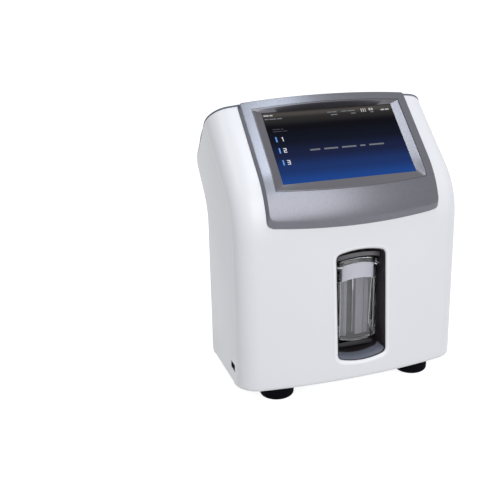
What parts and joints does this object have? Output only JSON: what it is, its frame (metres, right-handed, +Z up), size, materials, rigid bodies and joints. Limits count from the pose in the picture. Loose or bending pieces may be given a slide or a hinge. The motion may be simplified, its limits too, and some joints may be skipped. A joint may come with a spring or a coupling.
{
  "type": "electrolyte analyzer",
  "caption": "Bench electrolyte analyzer with a sloping touch display, a sampling recess behind a lifting clear cover and a reagent drawer in its side.",
  "frame": {"origin": "on the surface the feet stand on, under the middle of the analyzer's box", "axes": "+Z up, -Y towards the user, +X to the user's right"},
  "size_m": [0.262, 0.1741, 0.3206],
  "materials": {
    "shell_white": "satin moulded plastic",
    "cover_grey": "dark blue-grey moulded plastic",
    "bezel_metal": "silver-grey metallic lacquer on plastic",
    "surround_grey": "glossy grey lacquer on plastic",
    "glass_black": "clear glass over a lit display",
    "liner_grey": "charcoal moulded plastic",
    "column_grey": "mid grey moulded plastic",
    "band_grey": "light grey moulded plastic",
    "clear_plastic": "polished clear plastic",
    "steel": "bright steel",
    "metal_grey": "plain sheet metal",
    "rubber_black": "matt black",
    "cartridge_white": "off-white moulded plastic",
    "board_green": "green circuit board"
  },
  "bodies": {
    "analyzer": {"front_shell": "shell_white", "left_side_panel": "shell_white", "right_side_panel": "shell_white", "rear_cover": "cover_grey", "left_lower_screw": "steel", "left_upper_screw": "steel", "right_lower_screw": "steel", "right_upper_screw": "steel", "base_plate": "metal_grey", "front_left_foot": "rubber_black", "front_right_foot": "rubber_black", "rear_left_foot": "rubber_black", "rear_right_foot": "rubber_black", "display_bezel": "bezel_metal", "display_surround": "surround_grey", "touch_glass": "glass_black", "display_module": "metal_grey", "display_carrier": "metal_grey", "sampler_liner": "liner_grey", "sampler_visor": "liner_grey", "sampler_column": "column_grey", "sampler_drip_tray": "rubber_black", "cover_hinge_pin": "steel", "front_drawer_rail": "steel", "rear_drawer_rail": "steel", "inner_wall": "metal_grey", "pump_housing": "liner_grey", "pump_motor": "metal_grey", "pump_tube": "clear_plastic", "main_board": "board_green", "power_supply": "metal_grey", "sensor_module": "cartridge_white", "rear_panel": "metal_grey", "power_inlet": "rubber_black", "network_socket": "steel", "rear_usb_socket": "steel", "serial_socket": "steel", "switch_well": "rubber_black", "side_usb_socket": "steel"},
    "cover": {"sampler_cover": "clear_plastic", "cover_band": "band_grey"},
    "probe": {"probe_arm": "liner_grey", "probe_needle": "steel"},
    "drawer": {"drawer_front": "shell_white", "drawer_cradle": "metal_grey", "reagent_cartridge": "cartridge_white"},
    "rotor": {"pump_rotor": "column_grey", "pump_roller_1": "steel", "pump_roller_2": "steel", "pump_roller_3": "steel"},
    "rocker": {"power_rocker": "rubber_black"}
  },
  "joints": [
    {"name": "cover_hinge", "type": "hinge", "parent": "analyzer", "child": "cover", "pos_m": [0.0055, -0.06675, 0.145], "axis": [-1, 0, 0], "range_deg": [0, 90]},
    {"name": "probe_hinge", "type": "hinge", "parent": "analyzer", "child": "probe", "pos_m": [0.0055, -0.06675, 0.145], "axis": [-1, 0, 0], "range_deg": [0, 36]},
    {"name": "drawer_slide", "type": "slide", "parent": "analyzer", "child": "drawer", "axis": [1, 0, 0], "range_m": [0, 0.065]},
    {"name": "pump_spin", "type": "hinge", "parent": "analyzer", "child": "rotor", "pos_m": [0.0315, 0.00275, 0.122], "axis": [1, 0, 0], "continuous": true},
    {"name": "rocker_hinge", "type": "hinge", "parent": "analyzer", "child": "rocker", "pos_m": [-0.0555, 0.03995, 0.052], "axis": [1, 0, 0], "range_deg": [0, 14]}
  ],
  "couplings": [
    {"joint": "probe_hinge", "follows": "cover_hinge", "ratio": 0.4}
  ]
}
